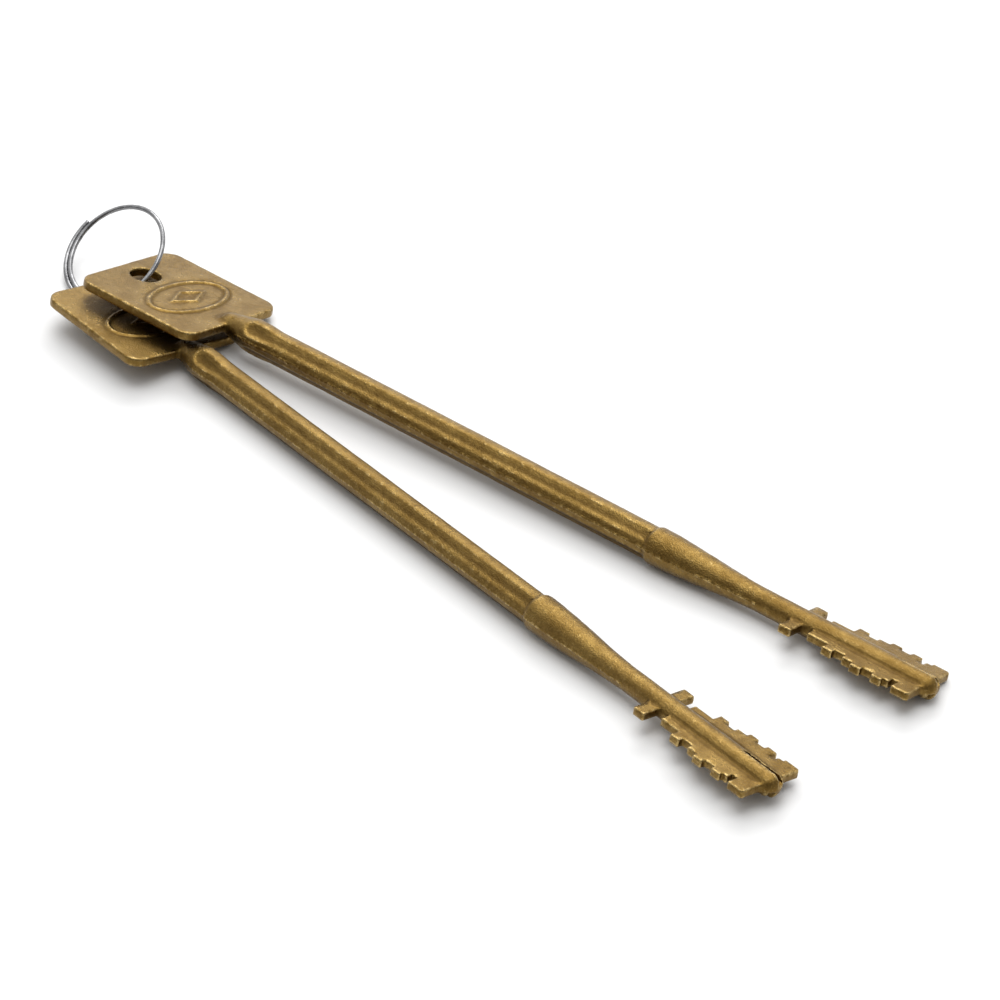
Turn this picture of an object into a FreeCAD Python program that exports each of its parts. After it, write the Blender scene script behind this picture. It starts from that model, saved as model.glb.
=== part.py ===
import FreeCAD, Part
import math
import os

from FreeCAD import Placement, Rotation, Vector

# A pair of long double-bit keys, cast in brass, on a split ring of steel wire. Millimetres.
# They lie on a table: +Z is up and +X runs from the lower key's bow to its tip.
# The origin is on the table, under the middle of the whole bunch.

# Key: driving dimensions. A key is drawn with x from the rear of its bow's flat to its tip,
# y across the bow and z out of the bow's face. The rim is how far the bow goes past its flat.
BOW_LENGTH = 28.0
BOW_WIDTH = 25.4
BOW_RIM = 0.3
BOW_THICKNESS = 1.8
BOW_CORNER_RADIUS = 3.2
BOW_EDGE_RADIUS = 0.35
HOLE_X = 5.35
HOLE_RADIUS = 3.0
HOLE_CHAMFER = 0.4

MEDALLION_X = 16.3
MEDALLION_HALF_LENGTH = 9.4
MEDALLION_HALF_WIDTH = 5.3
BEAD_WIDTH = 0.8
BEAD_HEIGHT = 0.22
LOZENGE_HALF_LENGTH = 4.6
LOZENGE_HALF_WIDTH = 2.3
LOZENGE_LINE = 0.8

SHANK_RADIUS = 3.18
BOSS_RADIUS = 3.45
COLLAR_RADIUS = 3.5
RIB_RADIUS = 2.25
NECK_START = 25.4
NECK_TOE_RADIUS = 1.9
BOSS_START = 33.5
BOSS_END = 36.5
SHANK_START = 39.0
COLLAR_START = 127.9
COLLAR_SHOULDER = 0.6
COLLAR_END = 130.6
RIB_START = 151.0
TIP_X = 188.9

FLUTE_RADIUS = 3.34
FLUTE_DEPTH = 0.45
FLUTE_START = 32.6

BLADE_THICKNESS = 1.62
BLADE_END = 187.1
LUG_START = 159.3
LUG_END = 162.0
LUG_HALF_SPAN = 5.95
CUT_START = 164.2
CUT_STEP = 1.075
LOBE_HALF_SPAN = 6.75
LOBE_CORNER_RADIUS = 0.9
# Each cut is a number of steps along the blade and the half-width left there.
FAR_CUTS = ((4, 4.1), (2, 6.0), (2, 5.0), (2, 5.9), (2, 6.8), (2, 5.9), (2, 6.8), (1, 5.0), (1, 6.1))
NEAR_CUTS = ((4, 4.0), (2, 5.9), (2, 4.8), (2, 5.8), (2, 6.7), (2, 5.7), (2, 6.6), (1, 5.8), (1, 4.5))
TIP_SLOT_START = 179.6
TIP_SLOT_FROM = 0.25
TIP_SLOT_TO = 1.5
TIP_SLOT_FLOOR = 0.45

# How the keys lie: both bows lean over to the far side, the upper one over the lower one,
# and the upper key runs down to rest the far edge of its blade on the table.
LOWER_LEAN = 11.7
UPPER_LEAN = 15.8
UPPER_FAN = 10.15
UPPER_DIP = 0.94
UPPER_BOW_AT = Vector(1.04, 5.1, 2.2)

# Ring: a wire wound into a flat spiral of a turn and a quarter. Its angles are measured from
# the side that lies in the keys' holes; the wire rises through them from the lower to the upper.
WIRE_RADIUS = 0.475
RING_RADIUS = 10.65
RING_PITCH = 0.98
RING_WIND_START = -285.0
RING_WIND_END = 176.0
RING_CENTRE = Vector(-3.32, 6.0, 2.96)
RING_ATTITUDE = Rotation(-11.7, 6.8, -147.3)


def rounded_plate():
    """The bow: a flat plate with rounded corners, softened edges and the ring's hole."""
    length = BOW_LENGTH + 2 * BOW_RIM
    width = BOW_WIDTH + 2 * BOW_RIM
    plate = Part.makeBox(length, width, BOW_THICKNESS, Vector(-BOW_RIM, -width / 2, -BOW_THICKNESS / 2))
    corners = [edge for edge in plate.Edges if abs(edge.tangentAt(edge.FirstParameter).z) > 0.9]
    plate = plate.makeFillet(BOW_CORNER_RADIUS, corners)
    rims = [edge for edge in plate.Edges if abs(abs(edge.CenterOfMass.z) - BOW_THICKNESS / 2) < 1e-6]
    plate = plate.makeFillet(BOW_EDGE_RADIUS, rims)
    return plate


def hole():
    """The ring's hole, opened out at both faces."""
    overshoot = 0.2
    half = BOW_THICKNESS / 2
    mouth = HOLE_RADIUS + HOLE_CHAMFER
    profile = Part.makePolygon(
        [
            Vector(0, 0, -half - overshoot),
            Vector(mouth + overshoot, 0, -half - overshoot),
            Vector(HOLE_RADIUS, 0, -half + HOLE_CHAMFER),
            Vector(HOLE_RADIUS, 0, half - HOLE_CHAMFER),
            Vector(mouth + overshoot, 0, half + overshoot),
            Vector(0, 0, half + overshoot),
            Vector(0, 0, -half - overshoot),
        ]
    )
    cutter = Part.Face(profile).revolve(Vector(0, 0, 0), Vector(0, 0, 1), 360)
    cutter.translate(Vector(HOLE_X, 0, 0))
    return cutter


def oval(half_length, half_width, height):
    """An elliptical slab through the bow, long across the bow, standing out of both faces."""
    ellipse = Part.Ellipse(Vector(0, 0, 0), half_length, half_width)
    face = Part.Face(Part.Wire(ellipse.toShape()))
    slab = face.extrude(Vector(0, 0, 2 * height))
    slab.Placement = Placement(Vector(MEDALLION_X, 0, -height), Rotation(Vector(0, 0, 1), 90))
    return slab


def lozenge(half_length, half_width, height):
    points = [
        Vector(half_width, 0, -height),
        Vector(0, half_length, -height),
        Vector(-half_width, 0, -height),
        Vector(0, -half_length, -height),
    ]
    face = Part.Face(Part.makePolygon(points + points[:1]))
    face.translate(Vector(MEDALLION_X, 0, 0))
    return face.extrude(Vector(0, 0, 2 * height))


def medallion():
    """A raised oval bead round a plain raised lozenge, on both faces of the bow."""
    height = BOW_THICKNESS / 2 + BEAD_HEIGHT
    inset = BEAD_WIDTH / 2
    bead = oval(MEDALLION_HALF_LENGTH + inset, MEDALLION_HALF_WIDTH + inset, height).cut(
        oval(MEDALLION_HALF_LENGTH - inset, MEDALLION_HALF_WIDTH - inset, height + 1)
    )
    shrink = 1 - LOZENGE_LINE / LOZENGE_HALF_WIDTH
    badge = lozenge(LOZENGE_HALF_LENGTH, LOZENGE_HALF_WIDTH, height).cut(
        lozenge(LOZENGE_HALF_LENGTH * shrink, LOZENGE_HALF_WIDTH * shrink, height + 1)
    )
    return [bead, badge]


def turned_bar():
    """Neck, boss, shank, collar, taper and rib, as one profile turned about the key's axis."""
    outline = [
        Vector(NECK_START, 0, 0),
        Vector(NECK_START + NECK_TOE_RADIUS * 0.45, 0, NECK_TOE_RADIUS),
        Vector(BOSS_START, 0, BOSS_RADIUS),
        Vector(BOSS_END, 0, BOSS_RADIUS),
        Vector(SHANK_START, 0, SHANK_RADIUS),
        Vector(COLLAR_START, 0, SHANK_RADIUS),
        Vector(COLLAR_START + COLLAR_SHOULDER, 0, COLLAR_RADIUS),
        Vector(COLLAR_END, 0, COLLAR_RADIUS),
    ]
    edges = [Part.LineSegment(a, b).toShape() for a, b in zip(outline, outline[1:])]
    # The taper is a slim ogee that leaves the collar and meets the rib without a corner.
    length = RIB_START - COLLAR_END
    taper = Part.BezierCurve()
    taper.setPoles(
        [
            outline[-1],
            Vector(COLLAR_END + length * 0.4, 0, COLLAR_RADIUS),
            Vector(RIB_START - length * 0.45, 0, RIB_RADIUS),
            Vector(RIB_START, 0, RIB_RADIUS),
        ]
    )
    edges.append(taper.toShape())
    nose_start = TIP_X - RIB_RADIUS * 0.8
    rib_from = Vector(RIB_START, 0, RIB_RADIUS)
    rib_to = Vector(nose_start, 0, RIB_RADIUS)
    edges.append(Part.LineSegment(rib_from, rib_to).toShape())
    nose = Part.BezierCurve()
    nose.setPoles([rib_to, Vector(TIP_X, 0, RIB_RADIUS), Vector(TIP_X, 0, 0)])
    edges.append(nose.toShape())
    edges.append(Part.LineSegment(Vector(TIP_X, 0, 0), Vector(NECK_START, 0, 0)).toShape())
    profile = Part.Face(Part.Wire(edges))
    return profile.revolve(Vector(0, 0, 0), Vector(1, 0, 0), 360)


def flute(angle):
    """One of the shank's four grooves: it scoops in at the neck and runs square up to the collar."""
    offset = SHANK_RADIUS - FLUTE_DEPTH + FLUTE_RADIUS
    run_in = math.sqrt(FLUTE_RADIUS**2 - (offset - SHANK_RADIUS) ** 2)
    first = Vector(FLUTE_START + run_in, offset, 0)
    scoop = Part.makeCylinder(FLUTE_RADIUS, COLLAR_START - first.x, first, Vector(1, 0, 0))
    scoop = scoop.fuse(Part.makeSphere(FLUTE_RADIUS, first)).removeSplitter()
    scoop.rotate(Vector(0, 0, 0), Vector(1, 0, 0), angle)
    return scoop


def cut_edge(cuts, side):
    """Corner points of one bitted edge, from the root of the first cut to the end lobe."""
    points = []
    x = CUT_START
    for steps, half_width in cuts:
        points.append((x, side * half_width))
        x += steps * CUT_STEP
        points.append((x, side * half_width))
    points.append((x, side * LOBE_HALF_SPAN))
    points.append((BLADE_END, side * LOBE_HALF_SPAN))
    return points


def slab(points, thickness):
    outline = [Vector(x, y, -thickness / 2) for x, y in points]
    face = Part.Face(Part.makePolygon(outline + outline[:1]))
    return face.extrude(Vector(0, 0, thickness))


def blade():
    """The thin bitted blade and the two stop lugs at its root."""
    root = RIB_RADIUS * 0.9
    far = [(CUT_START, root)] + cut_edge(FAR_CUTS, 1)
    near = [(CUT_START, -root)] + cut_edge(NEAR_CUTS, -1)
    bit = slab([(LUG_START, root)] + far + near[::-1] + [(LUG_START, -root)], BLADE_THICKNESS)
    lobes = []
    for edge in bit.Edges:
        middle = edge.CenterOfMass
        if abs(middle.x - BLADE_END) < 1e-6 and abs(abs(middle.y) - LOBE_HALF_SPAN) < 1e-6:
            lobes.append(edge)
    bit = bit.makeFillet(LOBE_CORNER_RADIUS, lobes)
    lugs = slab(
        [
            (LUG_START, -LUG_HALF_SPAN),
            (LUG_END, -LUG_HALF_SPAN),
            (LUG_END, LUG_HALF_SPAN),
            (LUG_START, LUG_HALF_SPAN),
        ],
        BLADE_THICKNESS,
    )
    return [bit, lugs]


def tip_slot():
    """The slot cut along the rib's last stretch, just to the far side of its crest."""
    return Part.makeBox(
        TIP_X - TIP_SLOT_START,
        TIP_SLOT_TO - TIP_SLOT_FROM,
        RIB_RADIUS,
        Vector(TIP_SLOT_START, TIP_SLOT_FROM, TIP_SLOT_FLOOR),
    )


def key():
    """A whole key: one casting."""
    body = rounded_plate().multiFuse(medallion() + [turned_bar()] + blade())
    body = body.cut(hole())
    for angle in (45, 135, 225, 315):
        body = body.cut(flute(angle))
    for turn in (0, 180):
        slot = tip_slot()
        slot.rotate(Vector(0, 0, 0), Vector(1, 0, 0), turn)
        body = body.cut(slot)
    return body.removeSplitter().Solids[0]


def ring():
    """The wire ring in its own plane, wound as quarter arcs that each grow a little in radius."""
    growth = RING_PITCH / 4
    # From angle zero outwards the arcs widen; from angle zero the other way they tighten.
    arcs = []
    centre = Vector(0, 0, 0)
    radius = RING_RADIUS
    for angle in range(0, math.ceil(RING_WIND_END), 90):
        arcs.append((centre, radius, angle, min(angle + 90, RING_WIND_END)))
        radius += growth
        centre = centre - polar(growth, angle + 90)
    centre = Vector(0, 0, 0)
    radius = RING_RADIUS
    for angle in range(0, math.floor(RING_WIND_START), -90):
        radius -= growth
        centre = centre + polar(growth, angle)
        arcs.insert(0, (centre, radius, max(angle - 90, RING_WIND_START), angle))
    pieces = [arc_of_wire(*arc) for arc in arcs]
    pieces.append(rounded_end(*arcs[0][:3]))
    pieces.append(rounded_end(*arcs[-1][:2], arcs[-1][3]))
    return pieces[0].multiFuse(pieces[1:]).removeSplitter().Solids[0]


def polar(length, degrees):
    return Vector(length * math.cos(math.radians(degrees)), length * math.sin(math.radians(degrees)), 0)


def arc_of_wire(centre, radius, start, end):
    section = Part.Circle(centre + polar(radius, start), polar(1, start + 90), WIRE_RADIUS)
    face = Part.Face(Part.Wire(section.toShape()))
    return face.revolve(centre, Vector(0, 0, 1), end - start)


def rounded_end(centre, radius, angle):
    return Part.makeSphere(WIRE_RADIUS, centre + polar(radius, angle))


def placements():
    """Where the pieces lie on the table, with X along the lower key and its bow at X = 0."""
    lift = Vector(0, 0, COLLAR_RADIUS)
    return {
        "lower_key": Placement(lift, Rotation(0, 0, -LOWER_LEAN)),
        "upper_key": Placement(UPPER_BOW_AT + lift, Rotation(UPPER_FAN, UPPER_DIP, -UPPER_LEAN)),
        "key_ring": Placement(RING_CENTRE + lift, RING_ATTITUDE),
    }


def build():
    """Every node's solid, moved so that the origin is under the middle of the bunch."""
    casting = key()
    shapes = {"lower_key": casting.copy(), "upper_key": casting.copy(), "key_ring": ring()}
    for name, placement in placements().items():
        shapes[name].Placement = placement
    box = Part.makeCompound(list(shapes.values())).optimalBoundingBox()
    for shape in shapes.values():
        shape.translate(Vector(-box.Center.x, -box.Center.y, -box.ZMin))
    return shapes


def main():
    os.makedirs("parts", exist_ok=True)
    for name, shape in build().items():
        shape.exportStep(f"parts/{name}.step")
        print(name, "valid" if shape.isValid() else "invalid", round(shape.Volume, 2), "mm3")


main()
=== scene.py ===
import math

import bpy
import numpy as np
import openvdb
from mathutils import Euler, Matrix, Vector


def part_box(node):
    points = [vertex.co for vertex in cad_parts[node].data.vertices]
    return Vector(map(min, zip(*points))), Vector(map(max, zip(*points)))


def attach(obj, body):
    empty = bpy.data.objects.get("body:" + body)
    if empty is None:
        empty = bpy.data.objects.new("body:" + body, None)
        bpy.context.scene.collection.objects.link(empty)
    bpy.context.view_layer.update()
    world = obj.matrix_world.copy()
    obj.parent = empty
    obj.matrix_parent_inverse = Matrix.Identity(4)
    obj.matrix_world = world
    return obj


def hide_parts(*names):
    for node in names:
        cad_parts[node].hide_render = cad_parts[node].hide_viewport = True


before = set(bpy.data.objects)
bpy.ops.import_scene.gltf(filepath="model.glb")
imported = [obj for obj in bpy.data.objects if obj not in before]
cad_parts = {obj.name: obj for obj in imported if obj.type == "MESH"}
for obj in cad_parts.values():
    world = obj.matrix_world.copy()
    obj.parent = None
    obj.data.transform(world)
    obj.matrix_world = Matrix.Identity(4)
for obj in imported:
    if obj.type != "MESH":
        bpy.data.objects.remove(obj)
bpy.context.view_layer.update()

MM = 0.001

# The key, in millimetres in its own frame: x from the rear of the bow's flat to the tip, y
# across the bow, z out of the bow's face. Its sizes are the CAD's driving dimensions, and the
# roundings, the groove and the seam are finer than the CAD's.
BOW_LENGTH = 28.0
BOW_WIDTH = 25.4
BOW_RIM = 0.3
BOW_HALF_THICKNESS = 0.9
BOW_CORNER_RADIUS = 3.2
BOW_EDGE_RADIUS = 0.42
HOLE_X = 5.35
HOLE_RADIUS = 3.0
HOLE_EDGE = 0.3
MEDALLION_X = 16.3
MEDALLION_HALF_LENGTH = 9.4
MEDALLION_HALF_WIDTH = 5.3
BEAD_RADIUS = 0.44
BEAD_SINK = 0.22
GROOVE_OFFSET = 0.72
GROOVE_RADIUS = 0.3
GROOVE_LIFT = 0.2
LOZENGE_HALF_LENGTH = 4.2
LOZENGE_HALF_WIDTH = 2.1
LOZENGE_BEAD_RADIUS = 0.42
LOZENGE_BEAD_SINK = 0.15
NECK_START = 25.4
NECK_TOE_RADIUS = 1.9
BOSS_START = 33.5
BOSS_END = 36.5
BOSS_RADIUS = 3.45
SHANK_START = 39.0
SHANK_RADIUS = 3.18
COLLAR_RADIUS = 3.5
RIB_RADIUS = 2.25
COLLAR_START = 127.9
COLLAR_SHOULDER = 0.6
COLLAR_END = 130.6
RIB_START = 151.0
TIP_X = 188.9
NOSE_LENGTH = 1.8
FLUTE_RADIUS = 3.34
FLUTE_DEPTH = 0.45
FLUTE_START = 32.6
SEAM_START = 31.0
SEAM_END = 152.0
SEAM_HALF_WIDTH = 0.2
SEAM_LEAST = 0.07
SEAM_RAGGED = 0.15
SEAM_STEP = 0.22
BLADE_HALF_THICKNESS = 0.81
BLADE_EDGE = 0.22
LUG_EDGE = 0.28
LUG_CORNER_RADIUS = 0.35
BLADE_END = 187.1
LUG_MIDDLE = 160.65
LUG_HALF_LENGTH = 1.35
LUG_HALF_SPAN = 5.95
CUT_START = 164.2
CUT_STEP = 1.075
LOBE_HALF_SPAN = 6.75
LOBE_CHAMFER = 0.45
FAR_CUTS = ((4, 4.1), (2, 6.0), (2, 5.0), (2, 5.9), (2, 6.8), (2, 5.9), (2, 6.8), (1, 5.0), (1, 6.1))
NEAR_CUTS = ((4, 4.0), (2, 5.9), (2, 4.8), (2, 5.8), (2, 6.7), (2, 5.7), (2, 6.6), (1, 5.8), (1, 4.5))
TIP_SLOT_START = 179.6
TIP_SLOT_FROM = 0.25
TIP_SLOT_TO = 1.5
TIP_SLOT_FLOOR = 0.45

# How the pieces lie, from the lower key's axis at the rear edge of its bow.
LOWER_LEAN = 11.7
UPPER_LEAN = 15.8
UPPER_FAN = 10.15
UPPER_DIP = 0.94
UPPER_BOW_AT = Vector((1.04, 5.1, 2.2))
RING_CENTRE = Vector((-3.32, 6.0, 2.96))
RING_ATTITUDE = (-11.7, 6.8, -147.3)
WIRE_RADIUS = 0.475
RING_RADIUS = 10.65
RING_PITCH = 0.98
RING_WIND_START = -285
RING_WIND_END = 176

# The grid that the key is worked out on. Distances are kept only up to REACH.
VOXEL = 0.17
MARGIN = 0.6
REACH = 1.2
SHRINK = 0.012
# The bar is worked out from here on, and it only shows from the neck's start.
BAR_FROM = 22.0


def smooth_union(a, b, k):
    h = np.clip(0.5 + 0.5 * (b - a) / k, 0, 1)
    return b + (a - b) * h - k * h * (1 - h)


def smooth_cut(a, b, k):
    """Takes b out of a, leaving an edge rounded by about k."""
    return -smooth_union(-a, b, k)


def rounded_prism(outline, z, half_height, edge):
    """The distance to a slab, from the distance to its flat outline, with its edges rounded."""
    side = outline + edge
    face = np.abs(z) - half_height + edge
    outside = np.hypot(np.maximum(side, 0), np.maximum(face, 0))
    return outside + np.minimum(np.maximum(side, face), 0) - edge


def rectangle(u, v, half_u, half_v, corner=0.0):
    """The flat distance to a rectangle with rounded corners."""
    qu = np.abs(u) - half_u + corner
    qv = np.abs(v) - half_v + corner
    outside = np.hypot(np.maximum(qu, 0), np.maximum(qv, 0))
    return outside + np.minimum(np.maximum(qu, qv), 0) - corner


def polygon(x, y, points):
    """The signed flat distance to a closed polygon."""
    best = np.full(np.broadcast(x, y).shape, 1e9, np.float32)
    inside = np.zeros(best.shape, bool)
    for (ax, ay), (bx, by) in zip(points, points[1:] + points[:1]):
        ex, ey = bx - ax, by - ay
        t = np.clip(((x - ax) * ex + (y - ay) * ey) / (ex * ex + ey * ey), 0, 1)
        best = np.minimum(best, np.hypot(x - ax - ex * t, y - ay - ey * t))
        if ay != by:
            crosses = ((ay > y) != (by > y)) & (x < ex * (y - ay) / ey + ax)
            inside ^= crosses
    return np.where(inside, -best, best)


def cut_edge(cuts, side):
    """Corner points of one bitted edge, from the root of the first cut to the end lobe."""
    points = []
    x = CUT_START
    for steps, half_width in cuts:
        points.append((x, side * half_width))
        x += steps * CUT_STEP
        points.append((x, side * half_width))
    points.append((x, side * LOBE_HALF_SPAN))
    points.append((BLADE_END - LOBE_CHAMFER, side * LOBE_HALF_SPAN))
    points.append((BLADE_END, side * (LOBE_HALF_SPAN - LOBE_CHAMFER)))
    return points


def bar_radius(x):
    """The turned profile: neck, boss, shank, collar, ogee taper and rib."""
    profile = [
        (20.0, -4.0),
        (NECK_START, 0.3),
        (NECK_START + 0.8, NECK_TOE_RADIUS),
        (BOSS_START, BOSS_RADIUS),
        (BOSS_END, BOSS_RADIUS),
        (SHANK_START, SHANK_RADIUS),
        (COLLAR_START, SHANK_RADIUS),
        (COLLAR_START + COLLAR_SHOULDER, COLLAR_RADIUS),
        (COLLAR_END, COLLAR_RADIUS),
    ]
    t = np.clip((x - COLLAR_END) / (RIB_START - COLLAR_END), 0, 1)
    ease = t * t * (3 - 2 * t)
    return np.interp(x, *zip(*profile)) - (COLLAR_RADIUS - RIB_RADIUS) * (0.55 * ease + 0.45 * t)


def bow(x, y, z):
    """The plate with its hole, its oval bead and the raised lozenge, alike on both faces."""
    half_length, half_width = BOW_LENGTH / 2 + BOW_RIM, BOW_WIDTH / 2 + BOW_RIM
    outline = rectangle(x - BOW_LENGTH / 2, y, half_length, half_width, BOW_CORNER_RADIUS)
    plate = rounded_prism(outline, z, BOW_HALF_THICKNESS, BOW_EDGE_RADIUS)
    plate = smooth_cut(plate, np.hypot(x - HOLE_X, y) - HOLE_RADIUS, HOLE_EDGE)
    u = (x - MEDALLION_X) / MEDALLION_HALF_WIDTH
    v = y / MEDALLION_HALF_LENGTH
    f = np.hypot(u, v) + 1e-6
    slope = np.hypot(u / MEDALLION_HALF_WIDTH, v / MEDALLION_HALF_LENGTH) / f + 1e-6
    oval = (f - 1) / slope
    above = np.abs(z) - BOW_HALF_THICKNESS
    groove = np.hypot(np.abs(oval) - GROOVE_OFFSET, above - GROOVE_LIFT) - GROOVE_RADIUS
    plate = smooth_cut(plate, groove, 0.25)
    bead = np.hypot(oval, above + BEAD_SINK) - BEAD_RADIUS
    plate = smooth_union(plate, bead, 0.18)
    side = math.hypot(LOZENGE_HALF_WIDTH, LOZENGE_HALF_LENGTH)
    reach = np.abs(x - MEDALLION_X) / LOZENGE_HALF_WIDTH + np.abs(y) / LOZENGE_HALF_LENGTH
    rhomb = (reach - 1) * LOZENGE_HALF_WIDTH * LOZENGE_HALF_LENGTH / side
    lozenge = np.hypot(rhomb, above + LOZENGE_BEAD_SINK) - LOZENGE_BEAD_RADIUS
    return smooth_union(plate, lozenge, 0.2)


def bar(x, y, z, seam):
    """The turned bar with its four flutes and the casting's seam along both sides."""
    rho = np.hypot(y, z)
    radius = bar_radius(x)
    step = 0.05
    slope = (bar_radius(x + step) - bar_radius(x - step)) / (2 * step)
    body = (rho - radius) / np.sqrt(1 + slope * slope)
    offset = SHANK_RADIUS - FLUTE_DEPTH + FLUTE_RADIUS
    diagonal = offset * math.sqrt(0.5)
    run_in = math.sqrt(FLUTE_RADIUS**2 - (offset - SHANK_RADIUS) ** 2)
    before = np.maximum(FLUTE_START + run_in - x, 0)
    lateral = np.hypot(np.abs(y) - diagonal, np.abs(z) - diagonal)
    scoop = np.maximum(np.hypot(before, lateral) - FLUTE_RADIUS, x - COLLAR_START)
    body = smooth_cut(body, scoop, 0.1)
    ends = np.maximum(SEAM_START - x, x - SEAM_END)
    line = np.maximum(np.abs(z) - SEAM_HALF_WIDTH, np.maximum(rho - radius - seam, ends))
    body = smooth_union(body, line, 0.22)
    nose_start = TIP_X - NOSE_LENGTH
    nose = (np.hypot((x - nose_start) / NOSE_LENGTH, rho / RIB_RADIUS) - 1) * NOSE_LENGTH
    return np.where(x > nose_start, nose, body)


def blade(x, y, z):
    """The bitted blade and its stop lugs."""
    root = RIB_RADIUS * 0.9
    far = [(CUT_START, root)] + cut_edge(FAR_CUTS, 1)
    near = [(CUT_START, -root)] + cut_edge(NEAR_CUTS, -1)
    outline = polygon(x, y, [(LUG_MIDDLE, root)] + far + near[::-1] + [(LUG_MIDDLE, -root)])
    bit = rounded_prism(outline, z, BLADE_HALF_THICKNESS, BLADE_EDGE)
    lug_outline = rectangle(x - LUG_MIDDLE, y, LUG_HALF_LENGTH, LUG_HALF_SPAN, LUG_CORNER_RADIUS)
    lugs = rounded_prism(lug_outline, z, BLADE_HALF_THICKNESS, LUG_EDGE)
    return np.minimum(bit, lugs)


def tip_slots(x, y, z):
    """The slot along the rib's last stretch, and its twin half a turn about the key's axis away."""
    middle = (TIP_SLOT_FROM + TIP_SLOT_TO) / 2
    side = np.sign(z)
    across = np.abs(y * side - middle) - (TIP_SLOT_TO - TIP_SLOT_FROM) / 2
    return np.maximum(np.maximum(TIP_SLOT_START - x, across), TIP_SLOT_FLOOR - np.abs(z))


def lattice_noise(axes, cell, rng):
    """Smooth noise from -1 to 1 whose lumps are about cell millimetres across."""
    counts = [int(np.ptp(a) / cell) + 3 for a in axes]
    field = rng.uniform(-1, 1, counts).astype(np.float32)
    for axis, a in enumerate(axes):
        s = (a.ravel() - a.min()) / cell
        i = s.astype(int)
        t = (s - i).astype(np.float32)
        t = t * t * (3 - 2 * t)
        shape = [1, 1, 1]
        shape[axis] = len(t)
        t = t.reshape(shape)
        field = field.take(i, axis) * (1 - t) + field.take(i + 1, axis) * t
    return field


def box_blur(field, radius):
    """The mean of field over a cube that reaches radius voxels each way."""
    for axis in range(3):
        pad = [(0, 0)] * 3
        pad[axis] = (radius + 1, radius)
        total = np.cumsum(np.pad(field, pad, mode="edge"), axis, dtype=np.float32)
        n = field.shape[axis]
        high = total.take(np.arange(2 * radius + 1, 2 * radius + 1 + n), axis)
        low = total.take(np.arange(n), axis)
        field = (high - low) / (2 * radius + 1)
    return field


def grid_axes():
    low = (-BOW_RIM - MARGIN, -BOW_WIDTH / 2 - BOW_RIM - MARGIN, -COLLAR_RADIUS - MARGIN)
    high = (TIP_X + MARGIN, BOW_WIDTH / 2 + BOW_RIM + MARGIN, COLLAR_RADIUS + MARGIN)
    axes = [np.arange(a, b, VOXEL, dtype=np.float32) for a, b in zip(low, high)]
    return [a.reshape([-1 if k == n else 1 for k in range(3)]) for n, a in enumerate(axes)]


def key_field(axes):
    """The distance to a whole key over the grid: the bar first, then the bow and the blade on it."""
    x, y, z = axes
    along = x.ravel()
    field = np.full((x.size, y.size, z.size), REACH, np.float32)
    ragged = np.random.default_rng(11).uniform(0, 1, 900)
    seam = SEAM_LEAST + SEAM_RAGGED * np.interp(x, np.arange(len(ragged)) * SEAM_STEP, ragged)
    at = along >= BAR_FROM
    field[at] = np.clip(bar(x[at], y, z, seam[at]), -REACH, REACH)
    at = along <= BOW_LENGTH + 3
    field[at] = smooth_union(field[at], bow(x[at], y, z), 0.7)
    at = along >= LUG_MIDDLE - 4
    whole = smooth_union(field[at], blade(x[at], y, z), 0.5)
    field[at] = smooth_cut(whole, tip_slots(x[at], y, z), 0.12)
    return np.clip(field, -REACH, REACH).astype(np.float32)


def sample(field, points):
    """The field at points given in voxels."""
    i = np.clip(points.astype(int), 0, np.array(field.shape) - 2)
    t = points - i
    total = 0
    for corner in range(8):
        step = np.array([(corner >> k) & 1 for k in range(3)])
        weight = np.prod(np.where(step, t, 1 - t), axis=1)
        total = total + weight * field[tuple((i + step).T)]
    return total


def cast_mesh(name, base, axes, seed):
    """A key's mesh: the smooth field roughened like a sand casting, its edges and hollows marked."""
    rng = np.random.default_rng(seed)
    x = axes[0]
    # The bitted end is machined smoother, and the taper is left the roughest.
    machined = np.clip((x - CUT_START + 6) / 4, 0, 1)
    sparkle = np.clip((x - COLLAR_START) / 3, 0, 1) * np.clip((RIB_START + 8 - x) / 12, 0, 1)
    rough = base + lattice_noise(axes, 4.0, rng) * 0.028
    rough += lattice_noise(axes, 1.3, rng) * (0.016 + 0.012 * sparkle) * (1 - 0.5 * machined)
    rough += lattice_noise(axes, 0.6, rng) * (0.014 + 0.034 * sparkle)
    rough += SHRINK
    grid = openvdb.FloatGrid(REACH)
    grid.copyFromArray(rough.astype(np.float32))
    points, triangles, quads = grid.convertToPolygons(0.0, 0.12)
    mesh = bpy.data.meshes.new(name)
    origin = np.array([a.min() for a in axes])
    at = (origin + points * VOXEL) * MM
    faces = [f[::-1].tolist() for f in quads] + [f[::-1].tolist() for f in triangles]
    mesh.from_pydata(at.tolist(), [], faces)
    mesh.shade_smooth()
    for label, radius in (("edge", 2), ("hollow", 6)):
        blurred = box_blur(base, radius)
        value = sample(blurred, points) - sample(base, points)
        attribute = mesh.attributes.new(label, "FLOAT", "POINT")
        attribute.data.foreach_set("value", value.astype(np.float32))
    return mesh


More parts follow.
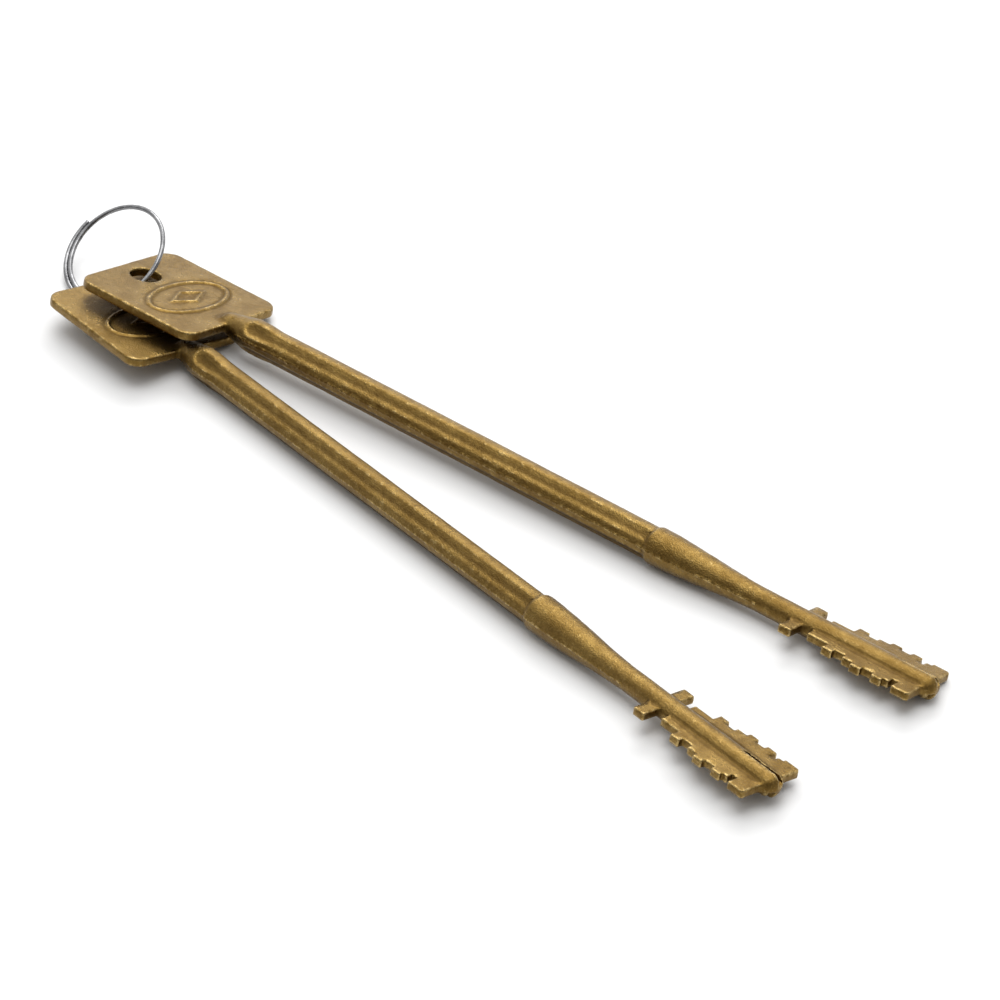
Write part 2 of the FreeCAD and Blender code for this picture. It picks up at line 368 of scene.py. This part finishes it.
def ring_path():
    """Points along the wound wire: quarter arcs that each grow a little in radius."""
    growth = RING_PITCH / 4
    step = 3

    def polar(length, degrees):
        angle = math.radians(degrees)
        return Vector((length * math.cos(angle), length * math.sin(angle), 0))

    arcs = []
    centre, radius = Vector(), RING_RADIUS
    for angle in range(0, RING_WIND_END, 90):
        arcs.append((centre, radius, angle, min(angle + 90, RING_WIND_END)))
        radius += growth
        centre = centre - polar(growth, angle + 90)
    centre, radius = Vector(), RING_RADIUS
    for angle in range(0, RING_WIND_START, -90):
        radius -= growth
        centre = centre + polar(growth, angle)
        arcs.insert(0, (centre, radius, max(angle - 90, RING_WIND_START), angle))
    path = []
    for centre, radius, start, end in arcs:
        count = max(2, round((end - start) / step))
        for k in range(count):
            angle = start + (end - start) * k / count
            path.append((centre + polar(radius, angle), angle))
    centre, radius, _, end = arcs[-1]
    path.append((centre + polar(radius, end), end))
    return path


def ring_mesh(name):
    """The wire swept along its path, with its two sheared ends slightly rounded over."""
    sides = 28
    path = ring_path()
    last = len(path) - 1
    # A station is a point of the path, the section's radius and how far along it is moved.
    end = [(WIRE_RADIUS * 0.55, 0.01), (WIRE_RADIUS - 0.05, -0.03), (WIRE_RADIUS, -0.14)]
    stations = [(0, radius, -shift) for radius, shift in end]
    stations += [(k, WIRE_RADIUS, 0) for k in range(1, last)]
    stations += [(last, radius, shift) for radius, shift in reversed(end)]
    vertices, faces = [], []
    for k, radius, shift in stations:
        point, degrees = path[k]
        angle = math.radians(degrees)
        outward = Vector((math.cos(angle), math.sin(angle), 0))
        along = Vector((-math.sin(angle), math.cos(angle), 0))
        for s in range(sides):
            turn = 2 * math.pi * s / sides
            rim = outward * math.cos(turn) + Vector((0, 0, math.sin(turn)))
            vertices.append((point + along * shift + rim * radius) * MM)
    rings = len(stations)
    for r in range(rings - 1):
        for s in range(sides):
            a, b = r * sides + s, r * sides + (s + 1) % sides
            faces.append((a, a + sides, b + sides, b))
    faces.append(tuple(range(sides)))
    faces.append(tuple(reversed(range((rings - 1) * sides, rings * sides))))
    mesh = bpy.data.meshes.new(name)
    mesh.from_pydata(vertices, [], faces)
    mesh.shade_smooth()
    return mesh


class Shader:
    """Adds and joins the nodes of one material."""

    def __init__(self, name):
        self.material = bpy.data.materials.new(name)
        self.material.use_nodes = True
        self.tree = self.material.node_tree
        self.surface = self.tree.nodes["Principled BSDF"]

    def add(self, kind, **settings):
        node = self.tree.nodes.new(kind)
        for key, value in settings.items():
            setattr(node, key, value)
        return node

    def link(self, source, socket):
        self.tree.links.new(source, socket)

    def feed(self, socket, value):
        if isinstance(value, bpy.types.NodeSocket):
            self.link(value, socket)
        else:
            socket.default_value = value

    def noise(self, where, scale, detail=4.0, roughness=0.55, distortion=0.0):
        node = self.add("ShaderNodeTexNoise")
        self.link(where, node.inputs["Vector"])
        node.inputs["Scale"].default_value = scale
        node.inputs["Detail"].default_value = detail
        node.inputs["Roughness"].default_value = roughness
        node.inputs["Distortion"].default_value = distortion
        return node.outputs["Fac"]

    def remap(self, value, low, high, to_low=0.0, to_high=1.0):
        node = self.add("ShaderNodeMapRange", interpolation_type="SMOOTHSTEP")
        self.feed(node.inputs["Value"], value)
        node.inputs["From Min"].default_value = low
        node.inputs["From Max"].default_value = high
        node.inputs["To Min"].default_value = to_low
        node.inputs["To Max"].default_value = to_high
        return node.outputs["Result"]

    def math(self, operation, a, b):
        node = self.add("ShaderNodeMath", operation=operation)
        self.feed(node.inputs[0], a)
        self.feed(node.inputs[1], b)
        return node.outputs[0]

    def speckled(self, value, speckle, amount):
        """The value moved up and down by a noise whose middle is one half."""
        centred = self.math("SUBTRACT", speckle, 0.5)
        return self.math("ADD", value, self.math("MULTIPLY", centred, amount))

    def mix(self, factor, a, b):
        node = self.add("ShaderNodeMix", data_type="RGBA")
        self.feed(node.inputs[0], factor)
        self.feed(node.inputs[6], a)
        self.feed(node.inputs[7], b)
        return node.outputs[2]

    def attribute(self, name):
        return self.add("ShaderNodeAttribute", attribute_name=name).outputs["Fac"]

    def bump(self, height, distance, strength, normal=None):
        node = self.add("ShaderNodeBump")
        self.link(height, node.inputs["Height"])
        node.inputs["Distance"].default_value = distance
        node.inputs["Strength"].default_value = strength
        if normal is not None:
            self.link(normal, node.inputs["Normal"])
        return node.outputs["Normal"]


def cast_brass(name, shift):
    """Dull cast brass: browned hollows, blotched yellow faces and edges rubbed bright, with a painted
    highlight along the edges.
    """
    s = Shader(name)
    place = s.add("ShaderNodeTexCoord").outputs["Object"]
    moved = s.add("ShaderNodeMapping")
    s.link(place, moved.inputs["Vector"])
    moved.inputs["Location"].default_value = shift
    where = moved.outputs["Vector"]
    blotch = s.noise(where, 190, 5, 0.62, 0.4)
    mottle = s.noise(where, 900, 4, 0.6)
    grain = s.noise(where, 3600, 3, 0.6)
    edge = s.attribute("edge")
    hollow = s.attribute("hollow")
    # Edges are painted lighter: partly rubbed wear, partly a painted highlight along them.
    wear_and_highlight = s.remap(s.speckled(edge, mottle, 0.24), 0.03, 0.12)
    deep = s.remap(s.speckled(hollow, mottle, 0.05), 0.012, -0.05)
    tone = s.math("ADD", s.math("MULTIPLY", blotch, 0.65), s.math("MULTIPLY", mottle, 0.35))
    face = s.mix(s.remap(tone, 0.36, 0.64), (0.165, 0.098, 0.024, 1), (0.245, 0.155, 0.044, 1))
    fleck = s.remap(grain, 0.56, 0.74)
    face = s.mix(s.math("MULTIPLY", fleck, 0.35), face, (0.42, 0.29, 0.115, 1))
    pit = s.remap(grain, 0.42, 0.3)
    face = s.mix(s.math("MULTIPLY", pit, 0.4), face, (0.09, 0.052, 0.013, 1))
    face = s.mix(s.math("MULTIPLY", deep, 0.62), face, (0.075, 0.042, 0.011, 1))
    face = s.mix(s.math("MULTIPLY", wear_and_highlight, 0.7), face, (0.55, 0.4, 0.17, 1))
    s.link(face, s.surface.inputs["Base Color"])
    dull = s.math("ADD", s.math("MULTIPLY", deep, 0.16), s.remap(tone, 0.3, 0.7, 0.38, 0.25))
    s.link(s.math("SUBTRACT", dull, s.math("MULTIPLY", wear_and_highlight, 0.1)), s.surface.inputs["Roughness"])
    s.surface.inputs["Metallic"].default_value = 1.0
    lumps = s.bump(mottle, 0.00016, 0.5)
    s.link(s.bump(grain, 0.00013, 0.8, lumps), s.surface.inputs["Normal"])
    return s.material


def bright_steel(name):
    """Plated spring wire, with fine marks over it and a little dulling."""
    s = Shader(name)
    place = s.add("ShaderNodeTexCoord").outputs["Object"]
    cloud = s.noise(place, 420, 4, 0.6)
    fine = s.noise(place, 3000, 3, 0.6)
    tone = s.remap(cloud, 0.3, 0.7)
    s.link(s.mix(tone, (0.17, 0.17, 0.175, 1), (0.36, 0.36, 0.365, 1)), s.surface.inputs["Base Color"])
    s.link(s.remap(fine, 0.3, 0.7, 0.2, 0.34), s.surface.inputs["Roughness"])
    s.surface.inputs["Metallic"].default_value = 1.0
    s.link(s.bump(fine, 0.00003, 0.35), s.surface.inputs["Normal"])
    return s.material


def placement(origin, yaw, pitch, roll):
    turn = Euler((math.radians(roll), math.radians(pitch), math.radians(yaw)), "XYZ")
    return Matrix.Translation(origin) @ turn.to_matrix().to_4x4()


def add_piece(mesh, where, material, node):
    mesh.materials.append(material)
    mesh.transform(where)
    piece = bpy.data.objects.new(mesh.name, mesh)
    bpy.context.scene.collection.objects.link(piece)
    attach(piece, node)
    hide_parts(node)


def area_light(name, at, aim, size, power):
    data = bpy.data.lights.new(name, "AREA")
    data.shape = "RECTANGLE"
    data.size, data.size_y = size
    data.energy = power
    light = bpy.data.objects.new(name, data)
    light.location = at
    light.rotation_euler = (aim - Vector(at)).to_track_quat("-Z", "Y").to_euler()
    bpy.context.scene.collection.objects.link(light)


low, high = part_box("lower_key")
axis_at = Vector((low.x + BOW_RIM * MM, (low.y + high.y) / 2, low.z + COLLAR_RADIUS * MM))

field_axes = grid_axes()
base_field = key_field(field_axes)
add_piece(
    cast_mesh("lower_key_casting", base_field, field_axes, 3),
    placement(axis_at, 0, 0, -LOWER_LEAN),
    cast_brass("cast_brass_lower", (0, 0, 0)),
    "lower_key",
)
add_piece(
    cast_mesh("upper_key_casting", base_field, field_axes, 8),
    placement(axis_at + UPPER_BOW_AT * MM, UPPER_FAN, UPPER_DIP, -UPPER_LEAN),
    cast_brass("cast_brass_upper", (0.31, 0.17, 0.08)),
    "upper_key",
)
add_piece(
    ring_mesh("split_ring_wire"),
    placement(axis_at + RING_CENTRE * MM, *RING_ATTITUDE),
    bright_steel("ring_steel"),
    "key_ring",
)

# The floor, the light and the camera.
bpy.ops.mesh.primitive_plane_add(size=6)
floor = bpy.context.object
floor.name = "floor"
floor_shader = Shader("floor")
floor_shader.surface.inputs["Base Color"].default_value = (0.8, 0.8, 0.8, 1)
floor_shader.surface.inputs["Roughness"].default_value = 0.85
floor_shader.surface.inputs["Specular IOR Level"].default_value = 0.2
floor.data.materials.append(floor_shader.material)

centre = Vector((0, 0, 0))
area_light("softbox_behind", (-0.5, 0.5, 0.7), centre, (0.7, 0.4), 4)
area_light("softbox_above", (0.0, 0.0, 1.1), centre, (0.8, 0.8), 5)


def studio_world(bright_side, dim, bright):
    """A plain studio: a bright ceiling that leans to one side and falls off to dim walls."""
    studio = bpy.data.worlds.new("studio")
    studio.use_nodes = True
    tree = studio.node_tree
    direction = tree.nodes.new("ShaderNodeTexCoord").outputs["Generated"]
    lean = tree.nodes.new("ShaderNodeVectorMath")
    lean.operation = "DOT_PRODUCT"
    lean.inputs[1].default_value = bright_side.normalized()
    tree.links.new(direction, lean.inputs[0])
    level = tree.nodes.new("ShaderNodeMapRange")
    level.interpolation_type = "SMOOTHSTEP"
    level.inputs["From Min"].default_value = -0.2
    level.inputs["From Max"].default_value = 0.85
    level.inputs["To Min"].default_value = dim
    level.inputs["To Max"].default_value = bright
    tree.links.new(lean.outputs["Value"], level.inputs["Value"])
    tree.links.new(level.outputs["Result"], tree.nodes["Background"].inputs["Strength"])
    tree.nodes["Background"].inputs["Color"].default_value = (1, 1, 1, 1)
    return studio


bpy.context.scene.world = studio_world(Vector((-0.45, 0.45, 0.77)), 0.16, 1.15)

CAMERA_AIM = axis_at + Vector((96.39, 18.14, -COLLAR_RADIUS)) * MM
CAMERA_BEARING = math.radians(-40.01)
CAMERA_ELEVATION = math.radians(37.63)
CAMERA_DISTANCE = 0.7954
towards_camera = Vector((math.cos(CAMERA_BEARING), math.sin(CAMERA_BEARING), math.tan(CAMERA_ELEVATION)))
towards_camera.normalize()
camera_data = bpy.data.cameras.new("camera")
camera_data.lens = 159.9
camera_data.sensor_width = 36
camera = bpy.data.objects.new("camera", camera_data)
camera.location = CAMERA_AIM + towards_camera * CAMERA_DISTANCE
camera.rotation_euler = towards_camera.to_track_quat("Z", "Y").to_euler()
bpy.context.scene.collection.objects.link(camera)
bpy.context.scene.camera = camera
bpy.context.scene.view_settings.view_transform = "Standard"
